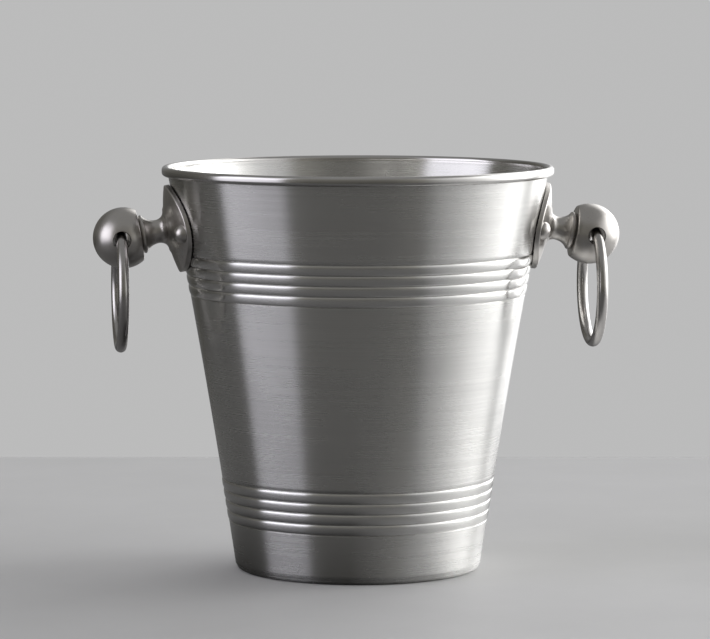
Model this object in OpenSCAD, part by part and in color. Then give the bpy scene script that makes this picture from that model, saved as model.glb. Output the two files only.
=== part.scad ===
// Champagne bucket with two drop ring handles.
// Z is the axis of the bucket and z = 0 is the surface it stands on.
// The handles lie on +X (right) and -X (left); -Y is the front. Millimetres.

/* [Bucket] */
// Height from the table to the top of the rim
bucket_h = 223; // [218:1:230]
// Outside diameter of the wall where it meets the table
base_d = 135; // [130:1:138]
// Outward lean of the wall at the table, in mm per mm of height
wall_lean = 0.1475; // [0.144:0.0005:0.15]
// Extra radius that the flare has added at the top
flare_gain = 5.15; // [4.5:0.05:5.8]
// Thickness of the spun sheet
wall_t = 0.95; // [0.8:0.05:1.2]
// Rounding where the wall turns into the bottom
corner_r = 3; // [2:0.5:4]
// Outside radius of the raised middle of the bottom
recess_r = 56; // [50:1:58]
// How far the middle of the bottom stands above the table
recess_h = 2.5; // [1.5:0.5:4]

/* [Ribs] */
// Rolled ribs in each of the two bands
rib_count = 4; // [3:1:5]
// Height of the lowest groove of the lower band
lower_band_z = 27.4; // [24:0.2:30]
// Rib spacing of the lower band
lower_pitch = 5.83; // [5.6:0.01:6]
// Height of the lowest groove of the upper band
upper_band_z = 152.5; // [150:0.5:154]
// Rib spacing of the upper band
upper_pitch = 5.68; // [5.4:0.01:5.8]
// Height of a rib's crest over the plain wall
rib_h = 0.4; // [0.2:0.05:0.5]
// Depth of the grooves between ribs
groove_h = 0.5; // [0.3:0.05:0.6]

/* [Rim] */
// Width of the rolled bead, seen in section
bead_w = 4.1; // [4:0.1:4.6]
// Height of the rolled bead
bead_h = 5.35; // [5:0.05:6]
// Slit between the end of the roll and the wall
lip_gap = 0.4; // [0.3:0.1:0.6]

/* [Escutcheon] */
// Height of the handle's axis where it meets the wall
mount_z = 189.6; // [188:0.2:191]
// Downward tilt of the handle's axis
mount_tilt = 10; // [9:0.5:11]
// Width of the oval plate, across the handle's axis
plate_w = 62; // [60:1:64]
// Height of the oval plate, along the wall
plate_h = 48.4; // [46:0.2:50]
// Height of the plate's dome over the wall
dome_h = 7.2; // [6.8:0.1:7.6]
// Radius of the dome, seen from above
dome_across_r = 57.5; // [56:0.5:60]
// Radius of the dome, seen from the front
dome_along_r = 85; // [80:1:90]
// Gap between the plate's edge and the wall
plate_gap = 0.5; // [0.5:0.05:0.9]

/* [Handle] */
// Diameter of the neck at its waist
neck_d = 12.8; // [12:0.2:13.6]
// Diameter of the collar behind the ball
collar_d = 21; // [20:0.5:22]
// Diameter of the ball
ball_d = 33.5; // [33:0.25:34]
// Distance of the ball's centre from the wall
ball_out = 30.7; // [30:0.1:31]
// Distance of the ball's flat face from its centre
ball_face = 9.1; // [8.8:0.1:9.4]
// Diameter of the cross bore for the ring, at its narrow throats
bore_d = 9.6; // [9.4:0.1:9.8]
// How far the cross bore lies beyond the ball's centre
bore_out = 2; // [1.5:0.1:2.5]
// Outside diameter of the ring
ring_d = 68.9; // [68:0.1:69.5]
// Diameter of the ring's round bar
ring_bar_d = 6.1; // [5.8:0.1:6.2]
// Diameter of the stud that joins ball and neck
stud_d = 6; // [5:0.5:6]

/* [Rivets] */
// Distance of each rivet from the handle's axis, across the plate
rivet_across = 25; // [24:0.1:25.2]
// How far the rivets sit below the handle's axis, along the wall
rivet_drop = 1; // [0:0.1:1.5]
// Diameter of the rivet's shank
rivet_d = 4; // [3:0.5:4]
// Diameter of the domed head
rivet_head_d = 10.4; // [9.8:0.1:10.6]
// Height of the domed head over its seat
rivet_head_h = 4.75; // [4.2:0.05:4.9]

/* [Hidden] */
$fn = 96;
fit_gap = 0.05;        // radial clearance of pieces that are pressed or riveted together
hole_gap = 0.1;        // radial clearance of rivet holes

// Wall outline
wall_steps = 6;        // plain stretches of each wall section
arc_steps = 8;         // points on each rounded corner and rib
upper_band_top = upper_band_z + rib_count * upper_pitch;
lower_band_top = lower_band_z + rib_count * lower_pitch;
bead_foot_z = bucket_h - bead_h;
bead_top_z = bucket_h - bead_w / 2;
bead_low_z = bead_foot_z + bead_w / 2;
bead_x = wall_r(bead_low_z) - wall_t + bead_w / 2;
hollow_r = bead_w / 2 - wall_t;
wire_d = 2 * (hollow_r - fit_gap);
foot_rise = 3;         // width of the slope from the foot ring up to the raised middle

// Handle outline, measured outward from the wall along the handle's axis
mount_x = wall_r(mount_z);
waist_out = 11.9;      // waist of the neck
fillet_r = 5.3;        // sweep from the plate into the neck
flare_r = 8.9;         // sweep from the neck out to the collar
collar_out = 19.9;     // middle of the collar's bead
collar_t = 2.6;        // thickness of the collar's bead
boss_d = 16;           // boss that the ball is seated against
face_out = ball_out - ball_face;
bore_x_out = ball_out + bore_out;
ball_edge_r = 1;       // rounding of the ball's shoulder

// Ring in its bore: it hangs on the bore's lips, and the bore is wider in the middle to let it pass
ring_play = 0.2;       // clearance of the ring in the bore
ring_r = (ring_d - ring_bar_d) / 2;
mouth_start = 15.1;    // where the bore's lips begin to round off, from the middle of the ball
mouth_r = 1.6;         // rounding of the lips
lip_turn = 35;         // where on the lip's rounding the ring comes closest
lip_y = mouth_start + mouth_r * sin(lip_turn);
lip_r = bore_d / 2 + mouth_r * (1 - cos(lip_turn));
ring_hang = sqrt(pow(ring_r - ring_bar_d / 2 - ring_play, 2) - pow(lip_y, 2));
ring_lift = ring_r - ring_hang - lip_r;    // height of the bar's middle over the bore's axis
bore_mid_r = ring_lift + ring_bar_d / 2 + ring_play;

// Stud, measured outward like the neck
stud_start = 14;
stud_play = 0.1;       // free length at each end of the stud's holes
stud_cover = 1.2;      // metal between the stud's hole and the bore
stud_end = bore_x_out - bore_mid_r - stud_cover - stud_play;

// Seat under the plate, which touches the wall above the ribs
pad_w = 57;
pad_h = 26;
plate_points = 60;     // points round the oval

// Rivets, measured outward from the wall along their own axes
rivet_turn = asin(rivet_across / mount_x);
rivet_seat = 3.1;      // where the head sits in the plate
rivet_tail = 2.3;      // length of the shank inside the bucket's outer face
tail_d = 7;
tail_h = 1.3;
rivet_head_r = (pow(rivet_head_d / 2, 2) + pow(rivet_head_h, 2)) / (2 * rivet_head_h);
rivet_tail_r = (pow(tail_d / 2, 2) + pow(tail_h, 2)) / (2 * tail_h);
cutter_reach = 12;     // half the length of the cutters that pass through a plate
hole_reach = 4;        // half the length of the holes through the sheet

function wall_r(z) = base_d / 2 + wall_lean * z + flare_gain * pow(z / bucket_h, 2);
function arc(x, y, r, a0, a1, n = arc_steps) =
    [for (i = [0:n]) let (a = a0 + (a1 - a0) * i / n) [x + r * cos(a), y + r * sin(a)]];
// Points of a plain stretch of wall, moved inward by t
function plain(z0, z1, t) =
    [for (i = [0:wall_steps]) let (z = z0 + (z1 - z0) * i / wall_steps) [wall_r(z) - t, z]];
// Offset of a rib from the plain wall, u = 0 and 1 in the grooves
function rib_offset(u) = (rib_h + groove_h) * sqrt(1 - pow(2 * u - 1, 2)) - groove_h;
// Points of one rib, from the groove at z0 up to just below the next groove
function rib(z0, pitch, t) =
    [for (i = [0:arc_steps - 1])
        let (u = (1 - cos(180 * i / arc_steps)) / 2, z = z0 + pitch * u)
            [wall_r(z) + rib_offset(u) - t, z]];
function band(z0, pitch, t) =
    [for (k = [0:rib_count - 1]) each rib(z0 + k * pitch, pitch, t)];
// One face of the sheet from the corner up to the rim, moved inward by t
function wall_face(z0, t) = concat(
    plain(z0, lower_band_z - groove_h, t),
    band(lower_band_z, lower_pitch, t),
    [[wall_r(lower_band_top) - groove_h - t, lower_band_top]],
    plain(lower_band_top + groove_h, upper_band_z - groove_h, t),
    band(upper_band_z, upper_pitch, t),
    [[wall_r(upper_band_top) - groove_h - t, upper_band_top]],
    plain(upper_band_top + groove_h, bead_low_z, t));
function reversed(p) = [for (i = [len(p) - 1:-1:0]) p[i]];
// Oval of the given width (Y) and height (X)
function oval(w, h) =
    [for (i = [0:plate_points - 1]) let (a = 360 * i / plate_points) [h / 2 * cos(a), w / 2 * sin(a)]];

// Sheet of the wall and bottom, in section
module sheet_outline() {
    foot_r = wall_r(0) - corner_r;
    inner_r = corner_r - wall_t;
    polygon(concat(
        [[0, recess_h], [recess_r - foot_rise, recess_h], [recess_r, 0]],
        arc(foot_r, corner_r, corner_r, -90, 0),
        wall_face(corner_r + 1, 0),
        reversed(wall_face(corner_r + 1, wall_t)),
        arc(foot_r, corner_r, inner_r, 0, -90),
        [[recess_r + wall_t / 2, wall_t], [recess_r - foot_rise + wall_t / 2, recess_h + wall_t]],
        [[0, recess_h + wall_t]]));
}

module stadium(r) {
    translate([bead_x, bead_top_z]) circle(r);
    translate([bead_x, bead_low_z]) circle(r);
    translate([bead_x - r, bead_low_z]) square([2 * r, bead_top_z - bead_low_z]);
}

// The sheet's top, rolled outward over the wire, with a slit along the wall where the roll ends
module bead_outline() {
    slit_foot = bead_foot_z - 1;
    difference() {
        stadium(bead_w / 2);
        stadium(hollow_r);
        polygon([
            [wall_r(slit_foot), slit_foot], [wall_r(slit_foot) + lip_gap, slit_foot],
            [wall_r(bead_low_z) + lip_gap, bead_low_z], [wall_r(bead_low_z), bead_low_z]]);
    }
}

// Puts its children on the right handle's axis: local Z runs outward, local X down the wall
module on_mount() {
    translate([mount_x, 0, mount_z]) rotate([0, 90 + mount_tilt, 0]) children();
}

// Puts its children on a rivet's axis; side is -1 for the front rivet, 1 for the rear
module on_rivet(side) {
    rotate([0, 0, side * rivet_turn]) on_mount() translate([rivet_drop, 0, 0]) children();
}

// Cone that follows the wall behind the plate, gap outside it
module wall_cone(gap) {
    cone_low = upper_band_z - 10;
    translate([0, 0, cone_low])
        cylinder(h = bucket_h - cone_low, r1 = wall_r(cone_low) + gap, r2 = wall_r(bucket_h) + gap);
}

// Oval block through the wall, w across the handle's axis and h along the wall
module oval_prism(w, h) {
    translate([0, 0, -cutter_reach]) linear_extrude(2 * cutter_reach) polygon(oval(w, h));
}

// Face of the plate: domed by one radius across and another along
module dome() {
    intersection() {
        translate([0, 0, dome_h - dome_across_r]) rotate([0, 90, 0])
            rotate_extrude()
                intersection() {
                    translate([dome_across_r - dome_along_r, 0]) circle(dome_along_r, $fn = 240);
                    translate([0, -dome_along_r]) square([dome_along_r, 2 * dome_along_r]);
                }
        oval_prism(plate_w, plate_h);
    }
}

module neck_outline() {
    waist_r = neck_d / 2;
    bead_r = collar_t / 2;
    flare_end = asin((collar_out - bead_r - waist_out) / flare_r);
    polygon(concat(
        [[0, 0], [waist_r + fillet_r, 0]],
        arc(waist_r + fillet_r, waist_out, fillet_r, 270, 180),
        arc(waist_r + flare_r, waist_out, flare_r, 180, 180 - flare_end),
        arc(collar_d / 2 - bead_r, collar_out, bead_r, -90, 90),
        [[boss_d / 2, collar_out + bead_r], [boss_d / 2, face_out - fit_gap]],
        [[0, face_out - fit_gap]]));
}

module right_escutcheon_body() {
    difference() {
        union() {
            on_mount() dome();
            on_mount() rotate_extrude() neck_outline();
        }
        difference() {
            wall_cone(plate_gap);
            on_mount() oval_prism(pad_w, pad_h);
        }
        wall_cone(fit_gap);
        for (side = [-1, 1]) on_rivet(side) {
            translate([0, 0, -hole_reach]) cylinder(h = 2 * hole_reach, d = rivet_d + 2 * hole_gap);
            rivet_head(hole_gap);
        }
        on_mount() translate([0, 0, stud_start - stud_play])
            cylinder(h = stud_end - stud_start, d = stud_d + 2 * fit_gap);
    }
}

// Ball outline: the sphere, cut off by the flat face, with a rounded shoulder
module ball_outline() {
    ball_r = ball_d / 2;
    edge_y = -ball_face + ball_edge_r;
    edge_x = sqrt(pow(ball_r - ball_edge_r, 2) - pow(edge_y, 2));
    edge_a = atan2(edge_y, edge_x);
    polygon(concat(
        [[0, -ball_face]],
        arc(edge_x, edge_y, ball_edge_r, -90, edge_a),
        arc(0, 0, ball_r, edge_a, 90, 4 * arc_steps)));
}

// Cutter for the cross bore, along local Z: wide in the middle, a throat each side, rounded lips
module bore_cutter() {
    throat_r = bore_d / 2;
    bow_r = ring_d / 2 + ring_play;
    bow_x = ring_lift - ring_r;
    bow_a = acos((throat_r - bow_x) / bow_r);
    end_y = ball_d / 2 + 1;
    lip = concat(
        arc(throat_r + mouth_r, mouth_start, mouth_r, 180, 90),
        [[throat_r + mouth_r, end_y], [0, end_y]]);
    rotate_extrude() polygon(concat(
        [for (p = reversed(lip)) [p[0], -p[1]]],
        arc(bow_x, 0, bow_r, -bow_a, bow_a, 2 * arc_steps),
        lip));
}

module right_ball_body() {
    on_mount() difference() {
        translate([0, 0, ball_out]) rotate_extrude() ball_outline();
        translate([0, 0, bore_x_out]) rotate([90, 0, 0]) bore_cutter();
        translate([0, 0, stud_start])
            cylinder(h = stud_end + stud_play - stud_start, d = stud_d + 2 * fit_gap);
    }
}

module right_stud_body() {
    on_mount() translate([0, 0, stud_start]) cylinder(h = stud_end - stud_start, d = stud_d);
}

// The ring hangs plumb through the bore, in the YZ plane
module right_ring_body() {
    bore_x = mount_x + bore_x_out * cos(mount_tilt);
    bore_z = mount_z - bore_x_out * sin(mount_tilt);
    translate([bore_x, 0, bore_z + ring_lift - ring_r]) rotate([0, 90, 0])
        rotate_extrude() translate([ring_r, 0]) circle(d = ring_bar_d);
}

// Domed head on its seat, grown by gap all round
module rivet_head(gap) {
    intersection() {
        translate([0, 0, rivet_seat + rivet_head_h - rivet_head_r]) sphere(rivet_head_r + gap);
        translate([0, 0, rivet_seat - gap / 2]) cylinder(h = rivet_head_h + 1, d = rivet_head_d + 2 * gap);
    }
}

module rivet_body(side) {
    on_rivet(side) {
        translate([0, 0, -rivet_tail]) cylinder(h = rivet_tail + rivet_seat + 1, d = rivet_d);
        rivet_head(0);
        intersection() {
            translate([0, 0, rivet_tail_r - rivet_tail]) sphere(rivet_tail_r);
            translate([0, 0, -rivet_tail]) cylinder(h = tail_h, d = tail_d);
        }
    }
}

module bucket_shell() {
    color("silver")
        difference() {
            rotate_extrude() {
                sheet_outline();
                bead_outline();
            }
            for (hand = [0, 1], side = [-1, 1]) mirror([hand, 0, 0]) on_rivet(side)
                translate([0, 0, -hole_reach]) cylinder(h = 2 * hole_reach, d = rivet_d + 2 * hole_gap);
        }
}

module rim_wire() {
    color("gray")
        translate([0, 0, (bead_top_z + bead_low_z) / 2]) rotate_extrude()
            translate([bead_x, 0]) circle(d = wire_d);
}

module right_escutcheon() { color("lightgray") right_escutcheon_body(); }
module right_ball() { color("gainsboro") right_ball_body(); }
module right_ball_stud() { color("dimgray") right_stud_body(); }
module right_ring() { color("whitesmoke") right_ring_body(); }
module right_front_rivet() { color("darkgray") rivet_body(-1); }
module right_rear_rivet() { color("darkgray") rivet_body(1); }

module left_escutcheon() { mirror([1, 0, 0]) right_escutcheon(); }
module left_ball() { mirror([1, 0, 0]) right_ball(); }
module left_ball_stud() { mirror([1, 0, 0]) right_ball_stud(); }
module left_ring() { mirror([1, 0, 0]) right_ring(); }
module left_front_rivet() { mirror([1, 0, 0]) right_front_rivet(); }
module left_rear_rivet() { mirror([1, 0, 0]) right_rear_rivet(); }

bucket_shell();
rim_wire();
left_escutcheon();
left_ball();
left_ball_stud();
left_ring();
left_front_rivet();
left_rear_rivet();
right_escutcheon();
right_ball();
right_ball_stud();
right_ring();
right_front_rivet();
right_rear_rivet();
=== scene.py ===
import math

import bmesh
import bpy
from mathutils import Matrix, Vector


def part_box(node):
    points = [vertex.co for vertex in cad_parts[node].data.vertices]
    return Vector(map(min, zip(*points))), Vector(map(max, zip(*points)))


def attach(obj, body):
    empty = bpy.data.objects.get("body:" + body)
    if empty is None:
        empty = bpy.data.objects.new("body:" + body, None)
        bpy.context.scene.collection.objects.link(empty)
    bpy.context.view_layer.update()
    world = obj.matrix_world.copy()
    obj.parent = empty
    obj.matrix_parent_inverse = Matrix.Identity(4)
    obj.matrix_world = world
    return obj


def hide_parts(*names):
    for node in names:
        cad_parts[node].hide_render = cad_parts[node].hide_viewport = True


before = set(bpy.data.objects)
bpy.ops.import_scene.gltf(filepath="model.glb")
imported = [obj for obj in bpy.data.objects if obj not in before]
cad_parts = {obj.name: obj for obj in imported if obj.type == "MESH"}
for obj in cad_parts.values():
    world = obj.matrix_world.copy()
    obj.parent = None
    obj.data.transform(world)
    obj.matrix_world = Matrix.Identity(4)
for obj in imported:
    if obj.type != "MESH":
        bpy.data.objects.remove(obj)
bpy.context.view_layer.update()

MM = 0.001

# ---------------------------------------------------------------- sizes, in metres and in the CAD's frame
shell_low, shell_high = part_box("bucket_shell")
BUCKET_H = shell_high.z
RIM_R = shell_high.x

BASE_R = 67.5 * MM           # wall radius at the table
WALL_LEAN = 0.1475           # outward lean of the wall at the table
FLARE_GAIN = 5.15 * MM       # extra radius added by the flare at the top
SHEET = 0.95 * MM            # thickness of the spun sheet
CORNER_R = 3 * MM            # rounding between wall and bottom
CORNER_TOP_Z = 1.05 * CORNER_R
RECESS_R = 56 * MM           # raised middle of the bottom
RECESS_H = 2.5 * MM
RECESS_SLOPE = 3 * MM        # width of the slope up to the raised middle
RECESS_EDGE = 0.5 * MM

RIB_COUNT = 4
RIB_BANDS = ((27.4 * MM, 5.83 * MM), (152.5 * MM, 5.68 * MM))   # lowest groove, spacing
RIB_H = 0.4 * MM             # height of the ribs and depth of the grooves, from the plain wall
GROOVE_H = 0.5 * MM
GROOVE_EDGE = 0.9 * GROOVE_H  # the plain wall stops this far from the outer grooves
RIB_FULLNESS = 2.3           # 2 is an ellipse in section, more is flatter with narrower grooves

BEAD_W = 4.1 * MM            # rolled rim, in section
BEAD_H = 5.35 * MM
BEAD_FOOT_Z = BUCKET_H - BEAD_H
BEAD_LOW_Z = BEAD_FOOT_Z + BEAD_W / 2
LIP_GAP = 0.4 * MM           # between the rolled lip and the wall
PRESS_GAP = 0.05 * MM        # between pieces that are pressed or screwed together

MOUNT_Z = 189.6 * MM         # where the handle's axis meets the wall
MOUNT_TILT = math.radians(10)
PLATE_W = 62 * MM
PLATE_H = 48.4 * MM
PLATE_GAP = 0.5 * MM
PLATE_EDGE_R = 0.55 * MM     # rounding of the plate's front edge
PLATE_EDGE_FALL = 0.35       # how steeply the face falls off over that rounding
PLATE_BACK_EDGE = 0.25 * MM  # bevel at the plate's back
DOME_H = 7.2 * MM
DOME_ACROSS_R = 57.5 * MM
DOME_ALONG_R = 85 * MM

NECK_R = 6.4 * MM
WAIST_OUT = 11.9 * MM
FILLET_R = 5.3 * MM
FILLET_END = 212             # where the neck's turned part hands over to the plate's face, in degrees
SWEEP_FALL = 0.9             # steepness of the sweep outside the fillet
SWEEP_BLEND = 1.6 * MM       # softness of the join between sweep and dome
FLARE_R = 8.9 * MM
COLLAR_R = 10.5 * MM
COLLAR_OUT = 19.9 * MM
COLLAR_T = 2.6 * MM
BOSS_R = 8 * MM

BALL_R = 16.75 * MM
BALL_OUT = 30.7 * MM
BALL_FACE = 9.1 * MM
BALL_EDGE_R = 1 * MM
FACE_OUT = BALL_OUT - BALL_FACE
BORE_OUT = BALL_OUT + 2 * MM
THROAT_R = 4.8 * MM          # narrow part of the bore, on each side of its wide middle
MOUTH_START = 15.1 * MM      # where the bore's lips begin to round off
MOUTH_R = 1.6 * MM
RING_PLAY = 0.2 * MM
STUD_HOLE_R = 3.05 * MM
STUD_START = 13.9 * MM
STUD_COVER = 1.2 * MM        # metal between the stud's hole and the bore

RIVET_ACROSS = 25 * MM
RIVET_DROP = 1 * MM          # how far the rivets sit below the handle's axis
RIVET_SEAT = 3.1 * MM
RIVET_HEAD_R = 5.2 * MM
RIVET_HEAD_H = 4.75 * MM
RIVET_SHANK_R = 2 * MM
RIVET_TAIL_R = 3.5 * MM
RIVET_TAIL_H = 1.3 * MM
RIVET_TAIL_OUT = 2.3 * MM


def wall_r(z):
    return BASE_R + WALL_LEAN * z + FLARE_GAIN * (z / BUCKET_H) ** 2


MOUNT_X = wall_r(MOUNT_Z)
RIVET_TURN = math.asin(RIVET_ACROSS / MOUNT_X)


def mount_matrix(turn=0.0):
    """Right handle's axis: local Z runs outward, local X down the wall, turned about the bucket's axis."""
    return (Matrix.Rotation(turn, 4, "Z") @ Matrix.Translation((MOUNT_X, 0, MOUNT_Z))
            @ Matrix.Rotation(math.pi / 2 + MOUNT_TILT, 4, "Y"))


MIRROR = Matrix.Scale(-1, 4, (1, 0, 0))

# ---------------------------------------------------------------- camera
VIEW_TURN = math.radians(-7)     # the handles stand 7 degrees off square to the view
CAM_DIST = 2.171
CAM_H = 0.3453
CAM_PITCH = math.radians(5.46)
CAM_SIDE = -0.0016
LENS = 200.0


def make_camera():
    data = bpy.data.cameras.new("camera")
    data.lens = LENS
    data.sensor_width = 36
    data.clip_end = 20
    cam = bpy.data.objects.new("camera", data)
    bpy.context.scene.collection.objects.link(cam)
    place = Matrix.Rotation(VIEW_TURN, 4, "Z") @ Matrix.Translation((CAM_SIDE, -CAM_DIST, CAM_H))
    cam.matrix_world = place @ Matrix.Rotation(math.pi / 2 - CAM_PITCH, 4, "X")
    bpy.context.scene.camera = cam


# ---------------------------------------------------------------- outlines
def arc(cx, cy, r, a0, a1, steps):
    """Points of a round stretch from angle a0 to a1, in degrees."""
    out = []
    for i in range(steps + 1):
        a = math.radians(a0 + (a1 - a0) * i / steps)
        out.append((cx + r * math.cos(a), cy + r * math.sin(a)))
    return out


def plain_wall(z0, z1, inset, step=2.0 * MM):
    n = max(2, int(round((z1 - z0) / step)))
    zs = [z0 + (z1 - z0) * i / n for i in range(n + 1)]
    return [(wall_r(z) - inset, z) for z in zs]


def rib(z0, pitch, inset, steps=14):
    """One rib, rounded in section, from the groove at z0 up to just below the next groove."""
    out = []
    for i in range(steps):
        u = (1 - math.cos(math.pi * i / steps)) / 2
        bulge = max(0, 1 - abs(2 * u - 1) ** RIB_FULLNESS) ** (1 / RIB_FULLNESS)
        rise = (RIB_H + GROOVE_H) * bulge - GROOVE_H
        z = z0 + pitch * u
        out.append((wall_r(z) + rise - inset, z))
    return out


def wall_face(z0, z1, inset):
    """One face of the sheet, from the bottom corner to the rim, moved inward by inset."""
    out, z = [], z0
    for low, pitch in RIB_BANDS:
        top = low + RIB_COUNT * pitch
        out += plain_wall(z, low - GROOVE_EDGE, inset)
        for k in range(RIB_COUNT):
            out += rib(low + k * pitch, pitch, inset)
        out.append((wall_r(top) - GROOVE_H - inset, top))
        z = top + GROOVE_EDGE
    return out + plain_wall(z, z1, inset)


def sheet_outline():
    """The whole sheet in section: bottom, corner, wall, and the top rolled outward over the wire."""
    foot_r = BASE_R - CORNER_R
    inner_r = CORNER_R - SHEET
    bead_r = BEAD_W / 2
    bead_x = RIM_R - bead_r
    top_z = BUCKET_H - bead_r
    hollow = bead_r - SHEET
    lip_out = -math.degrees(math.acos((wall_r(BEAD_FOOT_Z) + LIP_GAP - bead_x) / bead_r))
    lip_in = -math.degrees(math.acos((wall_r(BEAD_LOW_Z - hollow) + LIP_GAP - bead_x) / hollow))
    points = [(0, RECESS_H), (RECESS_R - RECESS_SLOPE, RECESS_H)]
    points += [(RECESS_R, 0), (RECESS_R + RECESS_EDGE, 0)]
    points += arc(foot_r, CORNER_R, CORNER_R, -90, -9, 10)
    points += wall_face(CORNER_TOP_Z, BEAD_LOW_Z, 0)
    points += arc(bead_x, top_z, hollow, 180, 0, 16)
    points += arc(bead_x, BEAD_LOW_Z, hollow, 0, lip_in, 12)
    points += reversed(arc(bead_x, BEAD_LOW_Z, bead_r, 0, lip_out, 14))
    points += arc(bead_x, top_z, bead_r, 0, 180, 24)
    points += reversed(wall_face(CORNER_TOP_Z, BEAD_LOW_Z, SHEET))
    points += arc(foot_r, CORNER_R, inner_r, -9, -90, 8)
    points += [(RECESS_R + SHEET / 2, SHEET), (RECESS_R - RECESS_SLOPE + SHEET / 2, RECESS_H + SHEET)]
    points += [(0, RECESS_H + SHEET)]
    return points


# ---------------------------------------------------------------- mesh helpers
def shade_smooth(mesh, sharp):
    mesh.polygons.foreach_set("use_smooth", [True] * len(mesh.polygons))
    mesh.set_sharp_from_angle(angle=math.radians(sharp))


def finish_mesh(name, bm, matrix=Matrix.Identity(4), sharp=40.0):
    bmesh.ops.remove_doubles(bm, verts=bm.verts, dist=1e-7)
    bmesh.ops.transform(bm, matrix=matrix, verts=bm.verts)
    bmesh.ops.recalc_face_normals(bm, faces=bm.faces)
    mesh = bpy.data.meshes.new(name)
    bm.to_mesh(mesh)
    bm.free()
    shade_smooth(mesh, sharp)
    obj = bpy.data.objects.new(name, mesh)
    bpy.context.scene.collection.objects.link(obj)
    return obj


def join_rings(bm, pairs, segments):
    """Faces between each pair of rings. A ring of one vertex is a pole."""
    for low, high in pairs:
        for i in range(segments):
            j = (i + 1) % segments
            if len(low) == 1:
                bm.faces.new((low[0], high[j], high[i]))
            elif len(high) == 1:
                bm.faces.new((low[i], low[j], high[0]))
            else:
                bm.faces.new((low[i], low[j], high[j], high[i]))


def lathe(points, segments):
    """A closed turned form about local Z. Its outline starts and ends on the axis, or is a loop."""
    bm = bmesh.new()
    on_axis = abs(points[0][0]) < 1e-9
    rings = []
    for r, z in points:
        if r < 1e-9:
            rings.append([bm.verts.new((0, 0, z))])
            continue
        ring = []
        for i in range(segments):
            a = 2 * math.pi * i / segments
            ring.append(bm.verts.new((r * math.cos(a), r * math.sin(a), z)))
        rings.append(ring)
    pairs = list(zip(rings, rings[1:]))
    if not on_axis:
        pairs.append((rings[-1], rings[0]))
    join_rings(bm, pairs, segments)
    return bm


def cut(obj, cutter_bm, matrix, sharp=40.0):
    """Takes the cutter's volume out of obj and applies the result."""
    cutter = finish_mesh("cutter", cutter_bm, matrix)
    modifier = obj.modifiers.new("cut", "BOOLEAN")
    modifier.operation = "DIFFERENCE"
    modifier.solver = "EXACT"
    modifier.object = cutter
    bpy.context.view_layer.update()
    evaluated = obj.evaluated_get(bpy.context.evaluated_depsgraph_get())
    mesh = bpy.data.meshes.new_from_object(evaluated)
    obj.modifiers.remove(modifier)
    obj.data = mesh
    mesh.name = obj.name
    bpy.data.objects.remove(cutter)
    shade_smooth(mesh, sharp)
    return obj


def side_matrix(side, matrix):
    return MIRROR @ matrix if side == "left" else matrix


# ---------------------------------------------------------------- pieces
def make_shell():
    return finish_mesh("spun_body", lathe(sheet_outline(), 288), sharp=50)


def paint_shell(shell, sheet, ribs, bead):
    """The sheet is brushed; its ribs and its rolled rim are rubbed smoother, with painted light on the
    ribs and painted shade on the rim.
    """
    shell.data.materials.clear()
    for material in (sheet, ribs, bead):
        shell.data.materials.append(material)
    for face in shell.data.polygons:
        z = face.center.z
        radius = math.hypot(face.center.x, face.center.y)
        outside = radius > wall_r(z) - SHEET / 2 - GROOVE_H
        ribbed = any(low < z < low + RIB_COUNT * pitch for low, pitch in RIB_BANDS)
        # The rolled rim's faces get the metal with painted shade, the ribs' outer faces the metal with
        # painted light.
        if z > BEAD_LOW_Z or z > BEAD_FOOT_Z and radius > wall_r(z) + LIP_GAP / 4:
            face.material_index = 2
        elif ribbed and outside:
            face.material_index = 1


def dome_out(x, y):
    """Height of the plate's domed face over the wall's tangent plane, x down the wall and y across."""
    across = DOME_ACROSS_R - DOME_ALONG_R + math.sqrt(DOME_ALONG_R ** 2 - x * x)
    return DOME_H - DOME_ACROSS_R + math.sqrt(max(0, across ** 2 - y * y))


def wall_out(x, y, gap):
    """Height along the handle's axis at which it is gap outside the wall, x down it and y across."""
    place = mount_matrix()
    low, high = -40 * MM, 20 * MM
    for _ in range(28):
        mid = (low + high) / 2
        p = place @ Vector((x, y, mid))
        if math.hypot(p.x, p.y) < wall_r(p.z) + gap:
            low = mid
        else:
            high = mid
    return (low + high) / 2


def smooth_max(a, b, k):
    h = max(k - abs(a - b), 0) / k
    return max(a, b) + h * h * k / 4


def face_out(rho, angle):
    """Height of the plate's face with the sweep that rises into the neck."""
    x, y = rho * math.cos(angle), rho * math.sin(angle)
    dome = dome_out(x, y)
    reach = NECK_R + FILLET_R - rho
    if reach <= 0:
        sweep = WAIST_OUT - FILLET_R
        sweep -= (rho - NECK_R - FILLET_R) * SWEEP_FALL
    else:
        sweep = WAIST_OUT - math.sqrt(max(0, FILLET_R ** 2 - reach ** 2))
    return smooth_max(dome, sweep, SWEEP_BLEND)


def oval_r(angle):
    a, b = PLATE_H / 2, PLATE_W / 2
    return a * b / math.hypot(b * math.cos(angle), a * math.sin(angle))


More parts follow.
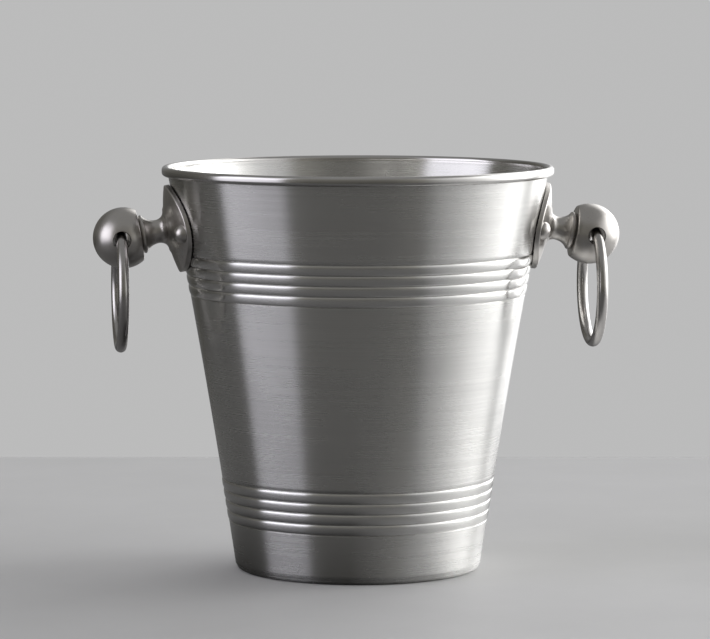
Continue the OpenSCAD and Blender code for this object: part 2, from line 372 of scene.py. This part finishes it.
def make_escutcheon(side):
    """Plate, neck and collar: one casting, built as rings round the handle's axis."""
    steps, face_rings, edge_rings, side_rings, back_rings = 144, 26, 5, 5, 8
    edge = PLATE_EDGE_R
    flare_end = math.asin((COLLAR_OUT - COLLAR_T / 2 - WAIST_OUT) / FLARE_R)
    bead_r = COLLAR_T / 2
    turned = [(0, STUD_START), (STUD_HOLE_R, STUD_START), (STUD_HOLE_R, FACE_OUT - PRESS_GAP)]
    turned += [(BOSS_R, FACE_OUT - PRESS_GAP), (BOSS_R, COLLAR_OUT + bead_r * 0.98)]
    turned += arc(COLLAR_R - bead_r, COLLAR_OUT, bead_r, 80, -90, 12)
    turned += reversed(arc(NECK_R + FLARE_R, WAIST_OUT, FLARE_R, 180, 180 - math.degrees(flare_end), 14))
    turned += arc(NECK_R + FILLET_R, WAIST_OUT, FILLET_R, 180, FILLET_END, 6)[1:]
    root_r = turned[-1][0]
    bm = bmesh.new()
    rings = []

    def ring(func):
        made = []
        for i in range(steps):
            a = 2 * math.pi * i / steps
            made.append(bm.verts.new(func(a)))
        rings.append(made)

    rings.append([bm.verts.new((0, 0, STUD_START))])
    for r, s in turned[1:]:
        ring(lambda a: (r * math.cos(a), r * math.sin(a), s))
    for k in range(1, face_rings + 1):
        t = (k / face_rings) ** 1.25    # closer together near the neck

        def on_face(a):
            rho = root_r + (oval_r(a) - edge - root_r) * t
            return (rho * math.cos(a), rho * math.sin(a), face_out(rho, a))
        ring(on_face)
    for k in range(1, edge_rings + 1):
        turn = math.pi / 2 * k / edge_rings

        def on_edge(a):
            rho = oval_r(a) - edge + edge * math.sin(turn)
            inner = oval_r(a) - edge
            fall = (rho - inner) * PLATE_EDGE_FALL
            return (rho * math.cos(a), rho * math.sin(a),
                    face_out(inner, a) - fall - edge * (1 - math.cos(turn)))
        ring(on_edge)
    for k in range(1, side_rings + 1):
        def on_side(a):
            rho = oval_r(a)
            x, y = rho * math.cos(a), rho * math.sin(a)
            top = face_out(rho - edge, a) - edge * (1 + PLATE_EDGE_FALL)
            low = wall_out(x, y, PLATE_GAP) + PLATE_BACK_EDGE
            return (x, y, top + (low - top) * k / side_rings)
        ring(on_side)
    for k in range(back_rings):
        def on_back(a):
            rho = (oval_r(a) - PLATE_BACK_EDGE) * (1 - k / back_rings)
            x, y = rho * math.cos(a), rho * math.sin(a)
            return (x, y, wall_out(x, y, PLATE_GAP))
        ring(on_back)
    rings.append([bm.verts.new((0, 0, wall_out(0, 0, PLATE_GAP)))])
    join_rings(bm, zip(rings, rings[1:]), steps)
    return finish_mesh(side + "_plate_and_neck", bm, side_matrix(side, mount_matrix()), sharp=42)


def ring_size(side):
    """Radius of the ring's bar, radius of its middle line, and its centre."""
    low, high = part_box(side + "_ring")
    bar_r = (high.x - low.x) / 2
    return bar_r, (high.y - low.y) / 2 - bar_r, (low + high) / 2


def bore_outline(side):
    """Half-section of the cross bore: a middle bowed like the ring, two throats and rounded lips."""
    bar_r, ring_r, centre = ring_size(side)
    axis_z = MOUNT_Z - BORE_OUT * math.sin(MOUNT_TILT)
    bow_x = centre.z - axis_z
    bow_r = ring_r + bar_r + RING_PLAY
    bow_a = math.degrees(math.acos((THROAT_R - bow_x) / bow_r))
    end_y = BALL_R + 1 * MM
    lip = arc(THROAT_R + MOUTH_R, MOUTH_START, MOUTH_R, 180, 90, 14)
    lip += [(THROAT_R + MOUTH_R, end_y), (0, end_y)]
    return [(r, -y) for r, y in reversed(lip)] + arc(bow_x, 0, bow_r, -bow_a, bow_a, 20) + lip


def make_ball(side):
    """The ball with the stud's hole in its flat face, and the cross bore cut through."""
    bar_r, ring_r, centre = ring_size(side)
    bow_x = centre.z - MOUNT_Z + BORE_OUT * math.sin(MOUNT_TILT)
    stud_end = BORE_OUT - (bow_x + ring_r + bar_r + RING_PLAY) - STUD_COVER
    edge_y = -BALL_FACE + BALL_EDGE_R
    edge_x = math.sqrt((BALL_R - BALL_EDGE_R) ** 2 - edge_y ** 2)
    edge_a = math.degrees(math.atan2(edge_y, edge_x))
    outline = [(0, stud_end - BALL_OUT), (STUD_HOLE_R, stud_end - BALL_OUT)]
    outline += [(STUD_HOLE_R, -BALL_FACE)]
    outline += arc(edge_x, edge_y, BALL_EDGE_R, -90, edge_a, 6)
    outline += arc(0, 0, BALL_R, edge_a, 90, 56)[1:]
    outline[-1] = (0, BALL_R)
    place = mount_matrix()
    centred = place @ Matrix.Translation((0, 0, BALL_OUT))
    ball = finish_mesh(side + "_handle_ball", lathe(outline, 112), centred)
    across = place @ Matrix.Translation((0, 0, BORE_OUT)) @ Matrix.Rotation(math.pi / 2, 4, "X")
    cut(ball, lathe(bore_outline(side), 96), across, sharp=24)
    if side == "left":
        ball.data.transform(MIRROR)
        ball.data.flip_normals()
    return ball


def make_ring(side):
    """A plain round ring, hanging plumb."""
    bar_r, ring_r, centre = ring_size(side)
    section = arc(ring_r, 0, bar_r, 0, 360, 36)[:-1]
    place = Matrix.Translation(centre) @ Matrix.Rotation(math.pi / 2, 4, "Y")
    return finish_mesh(side + "_drop_ring", lathe(section, 168), place)


def make_rivet(side, row):
    """Round head outside, shank, and a flatter head formed inside the wall."""
    head_r = (RIVET_HEAD_R ** 2 + RIVET_HEAD_H ** 2) / (2 * RIVET_HEAD_H)
    span = math.degrees(math.asin(min(1, RIVET_HEAD_R / head_r)))
    if RIVET_HEAD_H > head_r:
        span = 180 - span
    tail_r = (RIVET_TAIL_R ** 2 + RIVET_TAIL_H ** 2) / (2 * RIVET_TAIL_H)
    tail_span = math.degrees(math.asin(RIVET_TAIL_R / tail_r))
    tail_base = -RIVET_TAIL_OUT + RIVET_TAIL_H
    outline = arc(0, tail_base - RIVET_TAIL_H + tail_r, tail_r, -90, -90 + tail_span, 8)
    outline[0] = (0, outline[0][1])
    outline += [(RIVET_SHANK_R, tail_base), (RIVET_SHANK_R, RIVET_SEAT)]
    outline += arc(0, RIVET_SEAT + RIVET_HEAD_H - head_r, head_r, 90 - span, 90, 16)
    outline[-1] = (0, outline[-1][1])
    turn = RIVET_TURN if row == "rear" else -RIVET_TURN
    place = mount_matrix(turn) @ Matrix.Translation((RIVET_DROP, 0, 0))
    return finish_mesh(f"{side}_{row}_rivet_dome", lathe(outline, 64), side_matrix(side, place), sharp=35)


# ---------------------------------------------------------------- materials
class Nodes:
    """Short calls for building a node tree."""

    def __init__(self, tree):
        self.tree = tree
        tree.nodes.clear()

    def add(self, kind, **values):
        node = self.tree.nodes.new(kind)
        for key, value in values.items():
            if key in node.bl_rna.properties:
                setattr(node, key, value)
            else:
                node.inputs[key.replace("_", " ")].default_value = value
        return node

    def link(self, source, target):
        self.tree.links.new(source, target)

    def math(self, operation, a, b=None):
        node = self.add("ShaderNodeMath", operation=operation)
        for i, value in enumerate((a, b)):
            if value is None:
                continue
            if isinstance(value, (int, float)):
                node.inputs[i].default_value = value
            else:
                self.link(value, node.inputs[i])
        return node.outputs[0]

    def length(self, a, b):
        squares = self.math("ADD", self.math("MULTIPLY", a, a), self.math("MULTIPLY", b, b))
        return self.math("SQRT", squares)

    def mapped(self, value, low, high, to_low, to_high):
        node = self.add("ShaderNodeMapRange", clamp=True)
        self.link(value, node.inputs["Value"])
        ends = {"From Min": low, "From Max": high, "To Min": to_low, "To Max": to_high}
        for name, number in ends.items():
            node.inputs[name].default_value = number
        return node.outputs["Result"]


def new_material(name):
    material = bpy.data.materials.new(name)
    material.use_nodes = True
    return material, Nodes(material.node_tree)


def metal(name, colour, rough, anisotropy, grain, streak, wear):
    """Satin metal, with streaks and soft clouds of wear in its shade and roughness.

    grain: 'round' is brushed round the bucket's axis, 'cast' is rubbed with a fine mop.
    """
    material, n = new_material(name)
    coords = n.add("ShaderNodeTexCoord")
    split = n.add("ShaderNodeSeparateXYZ")
    n.link(coords.outputs["Object"], split.inputs[0])
    x, y, z = split.outputs
    across = n.math("ADD", z, n.length(x, y))

    def streaks(along_scale, across_scale, detail):
        """Noise about zero, drawn out along the brushing where there is any. Scales are per metre."""
        vector = n.add("ShaderNodeCombineXYZ")
        along = along_scale if grain == "round" else across_scale
        n.link(n.math("MULTIPLY", x, along), vector.inputs[0])
        n.link(n.math("MULTIPLY", y, along), vector.inputs[1])
        n.link(n.math("MULTIPLY", across if grain == "round" else z, across_scale), vector.inputs[2])
        noise = n.add("ShaderNodeTexNoise", Scale=1.0, Detail=detail, Roughness=0.65)
        n.link(vector.outputs[0], noise.inputs["Vector"])
        return n.math("SUBTRACT", noise.outputs["Fac"], 0.5)

    fine = streaks(14, 1250, 0)
    broad = streaks(7, 330, 1)
    cloud = n.add("ShaderNodeTexNoise", Scale=14.0, Detail=4.0, Roughness=0.55)
    n.link(coords.outputs["Object"], cloud.inputs["Vector"])
    cloudy = n.math("SUBTRACT", cloud.outputs["Fac"], 0.5)
    brushed = n.math("ADD", n.math("MULTIPLY", fine, 0.6), n.math("MULTIPLY", broad, 0.4))
    shade = n.math("ADD", n.math("MULTIPLY", brushed, streak), 1.0)
    shade = n.math("ADD", shade, n.math("MULTIPLY", cloudy, wear))
    tint = n.add("ShaderNodeCombineColor")
    for socket, value in zip(tint.inputs, colour):
        n.link(n.math("MULTIPLY", shade, value), socket)
    roughness = n.math("ADD", n.math("MULTIPLY", brushed, 0.06), rough)
    roughness = n.math("ADD", roughness, n.math("MULTIPLY", cloudy, 0.1))
    bump = n.add("ShaderNodeBump", Strength=0.08, Distance=0.00002)
    n.link(brushed, bump.inputs["Height"])
    shader = n.add("ShaderNodeBsdfPrincipled", Metallic=1.0)
    shader.inputs["Anisotropic"].default_value = anisotropy
    if anisotropy > 0:
        tangent = n.add("ShaderNodeTangent", direction_type="RADIAL", axis="Z")
        n.link(tangent.outputs[0], shader.inputs["Tangent"])
        shader.inputs["Anisotropic Rotation"].default_value = 0.25
    n.link(tint.outputs[0], shader.inputs["Base Color"])
    n.link(roughness, shader.inputs["Roughness"])
    n.link(bump.outputs[0], shader.inputs["Normal"])
    output = n.add("ShaderNodeOutputMaterial")
    n.link(shader.outputs[0], output.inputs[0])
    return material


def paint(obj, material):
    obj.data.materials.clear()
    obj.data.materials.append(material)


# ---------------------------------------------------------------- studio
# The light round the bucket. The stops were adjusted over many renders, until the
# wall's brightness in them agreed with the brightness measured in the photo. They stand for a dark
# room in front, a cool window on the left and a large lamp on the right. Each stop is a bearing in
# degrees, 0 towards the camera and positive towards the picture's right, with its light and its tint.
TINTS = {"warm": (1.03, 1.0, 0.91), "plain": (1.0, 1.0, 1.0), "cool": (1.01, 1.0, 1.09)}
STUDIO_BEARINGS = (
    (-180, 0.30, "plain"), (-168, 0.20, "plain"), (-155, 0.14, "warm"), (-140, 0.11, "warm"),
    (-120, 0.11, "warm"), (-94, 0.16, "warm"), (-88.5, 1.98, "cool"), (-75, 1.88, "cool"),
    (-48, 1.62, "cool"), (-42, 0.27, "warm"), (-30, 0.19, "warm"), (0, 0.17, "warm"), (18, 0.175, "warm"),
    (38, 0.31, "warm"), (50, 0.70, "plain"), (64, 1.00, "plain"), (78, 1.65, "plain"), (90, 2.70, "plain"),
    (112, 4.85, "plain"), (119, 4.45, "plain"), (126, 2.20, "plain"), (132, 1.90, "plain"),
    (138, 4.00, "plain"), (150, 3.50, "plain"), (160, 2.50, "plain"), (170, 1.40, "plain"),
    (180, 0.30, "plain"))
STUDIO_PEAK = 5.0
# Heights in the studio are sines of the angle above the horizon.
HORIZON = (-0.15, 0.08)         # over this height the studio rises from its low to its full light
LOW_LIGHT, FULL_LIGHT = 0.5, 1.08
CEILING = (0.45, 0.8)           # over this height it gives way to the ceiling
TOP_LIGHT = 0.30
BACKDROP = (0.50, 0.50, 0.50, 1)

FLOOR_BACK, FLOOR_SIDE, FLOOR_FRONT = 0.466, 0.9, 0.9
FLOOR_PALE = 0.60
# What the metal sees of the table, adjusted in the same way: painted shadow on the left and in front,
# painted light towards the lamp on the right, painted shade close to the bucket so that it is a little
# lighter further out, and a painted glow close to the foot that is strongest on the right. Bearings are
# sines, distances are in metres.
FLOOR_IN_METAL = (0.04, 0.70)
FLOOR_LIT_BEARING = (0.55, 0.98)
FLOOR_FAR_IN_METAL = 0.12
FLOOR_FAR = (0.08, 0.17)
FLOOR_NEAR_IN_METAL = 0.35
FLOOR_NEAR = (0.08, 0.20)
FLOOR_GLOW_BEARING = (-0.2, 0.5)


def make_world():
    """The studio lights everything and shows in the metal. The camera sees a plain backdrop instead."""
    world = bpy.data.worlds.new("studio")
    bpy.context.scene.world = world
    world.use_nodes = True
    n = Nodes(world.node_tree)
    coords = n.add("ShaderNodeTexCoord")
    split = n.add("ShaderNodeSeparateXYZ")
    n.link(coords.outputs["Generated"], split.inputs[0])
    x, y, z = split.outputs
    c, s = math.cos(VIEW_TURN), math.sin(VIEW_TURN)
    right = n.math("ADD", n.math("MULTIPLY", x, c), n.math("MULTIPLY", y, s))
    front = n.math("ADD", n.math("MULTIPLY", x, s), n.math("MULTIPLY", y, -c))
    bearing = n.math("ARCTAN2", right, front)
    place = n.math("ADD", n.math("DIVIDE", bearing, 2 * math.pi), 0.5)
    ramp = n.add("ShaderNodeValToRGB")
    ramp.color_ramp.interpolation = "LINEAR"
    stops = ramp.color_ramp.elements
    while len(stops) > 1:
        stops.remove(stops[-1])
    for i, (degrees, light, tint) in enumerate(STUDIO_BEARINGS):
        stop = stops[0] if i == 0 else stops.new(degrees / 360 + 0.5)
        stop.position = degrees / 360 + 0.5
        stop.color = [light / STUDIO_PEAK * t for t in TINTS[tint]] + [1]
    n.link(place, ramp.inputs[0])
    around = n.add("ShaderNodeBackground")
    n.link(ramp.outputs[0], around.inputs["Color"])
    strength = n.mapped(z, *HORIZON, LOW_LIGHT * STUDIO_PEAK, FULL_LIGHT * STUDIO_PEAK)
    n.link(strength, around.inputs["Strength"])
    above = n.add("ShaderNodeBackground", Color=(1, 1, 1, 1), Strength=TOP_LIGHT)
    plain = n.add("ShaderNodeBackground", Color=BACKDROP, Strength=1.0)
    path = n.add("ShaderNodeLightPath")
    studio = n.add("ShaderNodeMixShader")
    n.link(n.mapped(z, *CEILING, 0, 1), studio.inputs[0])
    n.link(around.outputs[0], studio.inputs[1])
    n.link(above.outputs[0], studio.inputs[2])
    seen = n.add("ShaderNodeMixShader")
    n.link(path.outputs["Is Camera Ray"], seen.inputs[0])
    n.link(studio.outputs[0], seen.inputs[1])
    n.link(plain.outputs[0], seen.inputs[2])
    output = n.add("ShaderNodeOutputWorld")
    n.link(seen.outputs[0], output.inputs[0])


def make_floor():
    bm = bmesh.new()
    corners = [(-FLOOR_SIDE, -FLOOR_FRONT), (FLOOR_SIDE, -FLOOR_FRONT)]
    corners += [(FLOOR_SIDE, FLOOR_BACK), (-FLOOR_SIDE, FLOOR_BACK)]
    bm.faces.new([bm.verts.new((x, y, 0)) for x, y in corners])
    bmesh.ops.transform(bm, matrix=Matrix.Rotation(VIEW_TURN, 4, "Z"), verts=bm.verts)
    floor = finish_mesh("table_top", bm)
    material, n = new_material("pale_table")
    coords = n.add("ShaderNodeTexCoord")
    noise = n.add("ShaderNodeTexNoise", Scale=9.0, Detail=6.0, Roughness=0.6)
    n.link(coords.outputs["Object"], noise.inputs["Vector"])
    shade = n.mapped(noise.outputs["Fac"], 0.3, 0.7, 0.97, 1.03)
    split = n.add("ShaderNodeSeparateXYZ")
    n.link(coords.outputs["Object"], split.inputs[0])
    x, y = split.outputs[:2]
    away = n.length(x, y)
    rightward = n.math("DIVIDE", x, away)
    # Painted light and shade on the table, seen only in the metal: shade close to the bucket, a glow near
    # the foot on the right, shadow to the left and light towards the lamp. To the camera and to the light
    # the table stays evenly pale.
    near = n.mapped(away, *FLOOR_NEAR, 1, 0)
    painted_glow = n.math("MULTIPLY", n.mapped(rightward, *FLOOR_GLOW_BEARING, 0, FLOOR_NEAR_IN_METAL), near)
    in_metal = n.math("ADD", n.mapped(rightward, *FLOOR_LIT_BEARING, *FLOOR_IN_METAL), painted_glow)
    in_metal = n.math("ADD", in_metal, n.mapped(away, *FLOOR_FAR, 0, FLOOR_FAR_IN_METAL))
    path = n.add("ShaderNodeLightPath")
    change = n.math("MULTIPLY", path.outputs["Is Glossy Ray"], n.math("SUBTRACT", in_metal, FLOOR_PALE))
    paleness = n.math("ADD", change, FLOOR_PALE)
    shader = n.add("ShaderNodeBsdfPrincipled", Roughness=0.6)
    grey = n.add("ShaderNodeCombineColor")
    for socket in grey.inputs[:3]:
        n.link(n.math("MULTIPLY", shade, paleness), socket)
    n.link(grey.outputs[0], shader.inputs["Base Color"])
    output = n.add("ShaderNodeOutputMaterial")
    n.link(shader.outputs[0], output.inputs[0])
    paint(floor, material)


# ---------------------------------------------------------------- assembly
make_camera()
make_world()
make_floor()

SHEET_METAL = metal("brushed_sheet_metal", (0.64, 0.635, 0.62), 0.27, 1.0, "round", 0.16, 0.08)
# The rib and rim metals are the sheet's metal in a lighter and a darker colour: painted light on the ribs,
# painted shade on the rolled rim.
RIB_METAL = metal("rubbed_rib_metal_with_painted_light", (0.69, 0.685, 0.67), 0.22, 0.92, "round", 0.14, 0.08)
BEAD_METAL = metal("rubbed_rim_metal_with_painted_shade", (0.58, 0.57, 0.555), 0.16, 0.0, "round", 0.20, 0.10)
CAST_METAL = metal("satin_cast_metal", (0.54, 0.52, 0.495), 0.29, 0.0, "cast", 0.10, 0.10)
RING_METAL = metal("satin_ring_metal", (0.51, 0.495, 0.48), 0.20, 0.0, "cast", 0.08, 0.08)
PLAIN_METAL = metal("drawn_metal", (0.5, 0.5, 0.49), 0.4, 0.0, "cast", 0.1, 0.1)


def install(obj, body, node, material):
    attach(obj, body)
    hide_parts(node)
    paint(obj, material)


body = make_shell()
install(body, "bucket", "bucket_shell", SHEET_METAL)
paint_shell(body, SHEET_METAL, RIB_METAL, BEAD_METAL)
for hand in ("left", "right"):
    install(make_escutcheon(hand), "bucket", hand + "_escutcheon", CAST_METAL)
    install(make_ball(hand), "bucket", hand + "_ball", CAST_METAL)
    install(make_ring(hand), hand + "_ring", hand + "_ring", RING_METAL)
    for row in ("front", "rear"):
        install(make_rivet(hand, row), "bucket", f"{hand}_{row}_rivet", CAST_METAL)
    paint(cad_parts[hand + "_ball_stud"], PLAIN_METAL)
paint(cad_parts["rim_wire"], PLAIN_METAL)

bpy.context.scene.view_settings.view_transform = "Standard"
